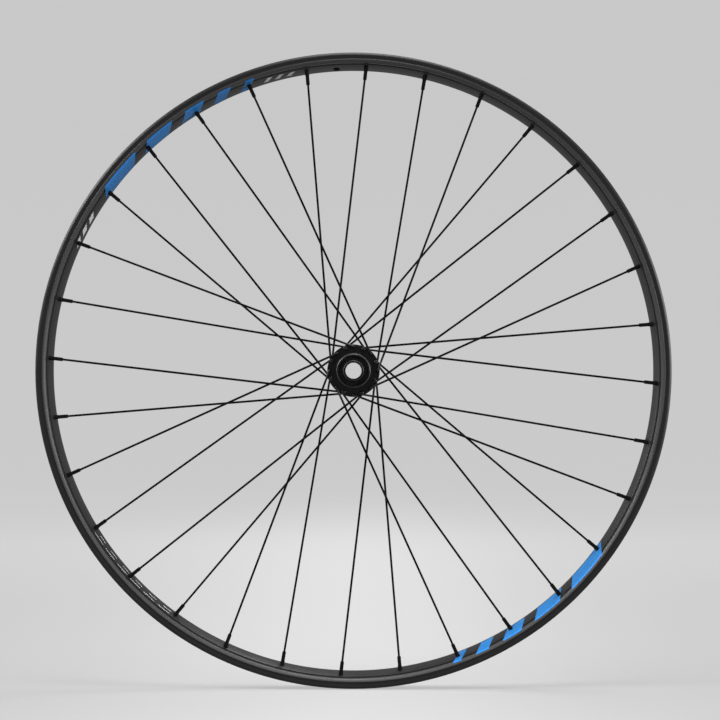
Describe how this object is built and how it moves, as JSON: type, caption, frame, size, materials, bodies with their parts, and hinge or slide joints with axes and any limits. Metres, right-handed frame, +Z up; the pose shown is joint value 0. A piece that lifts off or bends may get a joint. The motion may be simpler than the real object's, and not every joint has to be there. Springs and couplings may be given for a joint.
{
  "type": "bicycle wheel",
  "caption": "Tyreless front bicycle wheel: a black hollow rim laced by crossed wire spokes to a flanged hub that spins on a hollow axle and has a splined disc mount.",
  "frame": {"origin": "middle of the axle bore, halfway between the two end faces", "axes": "+X forward, +Y along the axle towards the left (disc) side, +Z up"},
  "size_m": [0.5959, 0.1, 0.596],
  "materials": {
    "rim_black": "satin black anodised",
    "spoke_black": "black drawn wire",
    "nipple_black": "black anodised",
    "hub_black": "satin black anodised",
    "axle_alloy": "turned",
    "cap_black": "black anodised",
    "bearing_steel": "ground",
    "seal_rubber": "matt"
  },
  "bodies": {
    "axle": {"axle_tube": "axle_alloy", "right_end_cap": "cap_black", "left_end_cap": "cap_black", "right_bearing_inner_race": "bearing_steel", "left_bearing_inner_race": "bearing_steel"},
    "wheel": {"rim": "rim_black", "spoke_01": "spoke_black", "spoke_02": "spoke_black", "spoke_03": "spoke_black", "spoke_04": "spoke_black", "spoke_05": "spoke_black", "spoke_06": "spoke_black", "spoke_07": "spoke_black", "spoke_08": "spoke_black", "spoke_09": "spoke_black", "spoke_10": "spoke_black", "spoke_11": "spoke_black", "spoke_12": "spoke_black", "spoke_13": "spoke_black", "spoke_14": "spoke_black", "spoke_15": "spoke_black", "spoke_16": "spoke_black", "spoke_17": "spoke_black", "spoke_18": "spoke_black", "spoke_19": "spoke_black", "spoke_20": "spoke_black", "spoke_21": "spoke_black", "spoke_22": "spoke_black", "spoke_23": "spoke_black", "spoke_24": "spoke_black", "spoke_25": "spoke_black", "spoke_26": "spoke_black", "spoke_27": "spoke_black", "spoke_28": "spoke_black", "spoke_29": "spoke_black", "spoke_30": "spoke_black", "spoke_31": "spoke_black", "spoke_32": "spoke_black", "spoke_nipples": "nipple_black", "hub_shell": "hub_black", "right_bearing_outer_race": "bearing_steel", "left_bearing_outer_race": "bearing_steel", "right_dust_seal": "seal_rubber", "left_dust_seal": "seal_rubber"},
    "right_ball_row": {"right_bearing_balls": "bearing_steel"},
    "left_ball_row": {"left_bearing_balls": "bearing_steel"}
  },
  "joints": [
    {"name": "wheel_spin", "type": "hinge", "parent": "axle", "child": "wheel", "pos_m": [0, 0, 0], "axis": [0, 1, 0], "continuous": true},
    {"name": "right_balls_roll", "type": "hinge", "parent": "axle", "child": "right_ball_row", "pos_m": [0, 0, 0], "axis": [0, 1, 0], "continuous": true},
    {"name": "left_balls_roll", "type": "hinge", "parent": "axle", "child": "left_ball_row", "pos_m": [0, 0, 0], "axis": [0, 1, 0], "continuous": true}
  ],
  "couplings": [
    {"joint": "right_balls_roll", "follows": "wheel_spin", "ratio": 0.5512},
    {"joint": "left_balls_roll", "follows": "wheel_spin", "ratio": 0.5512}
  ]
}
